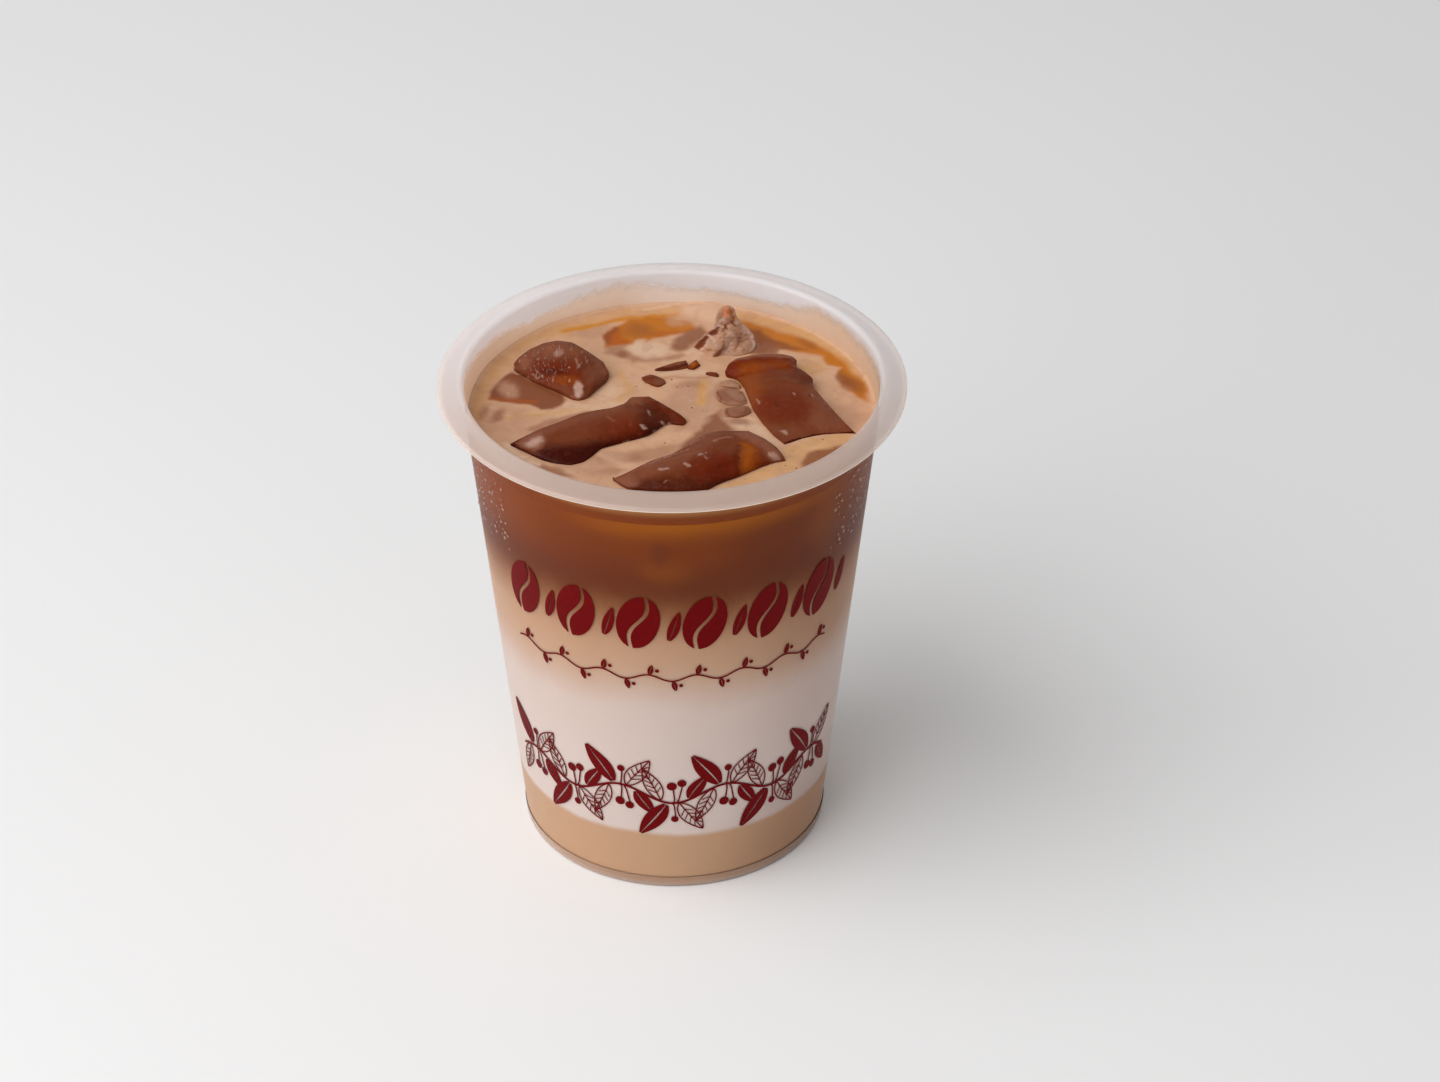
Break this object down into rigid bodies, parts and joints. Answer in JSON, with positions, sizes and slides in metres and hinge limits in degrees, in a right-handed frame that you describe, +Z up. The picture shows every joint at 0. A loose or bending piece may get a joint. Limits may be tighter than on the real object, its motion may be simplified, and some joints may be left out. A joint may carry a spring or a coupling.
{
  "type": "iced latte in a plastic cup",
  "caption": "Iced latte in a tapered frosted plastic cup with a broad flange; layers of milk and coffee, with ice afloat below the rim.",
  "frame": {"origin": "centre of the cup's foot, on the surface that it stands on", "axes": "+Z up the cup's axis, -Y towards the viewer, +X to the viewer's right"},
  "size_m": [0.095, 0.095, 0.1053],
  "materials": {
    "cup": "frosted, translucent, moulded",
    "drink_base": "opaque liquid",
    "milk": "opaque liquid",
    "latte": "opaque liquid",
    "coffee": "milk and coffee, streaked",
    "ice": "wet ice with cracks, coffee showing through"
  },
  "bodies": {
    "root": {"cup": "cup", "base_layer": "drink_base", "milk_layer": "milk", "latte_layer": "latte", "coffee_layer": "coffee", "ice_bar_left": "ice", "ice_bar_right": "ice", "ice_bar_front": "ice", "ice_shard": "ice", "ice_stub": "ice"}
  },
  "joints": []
}
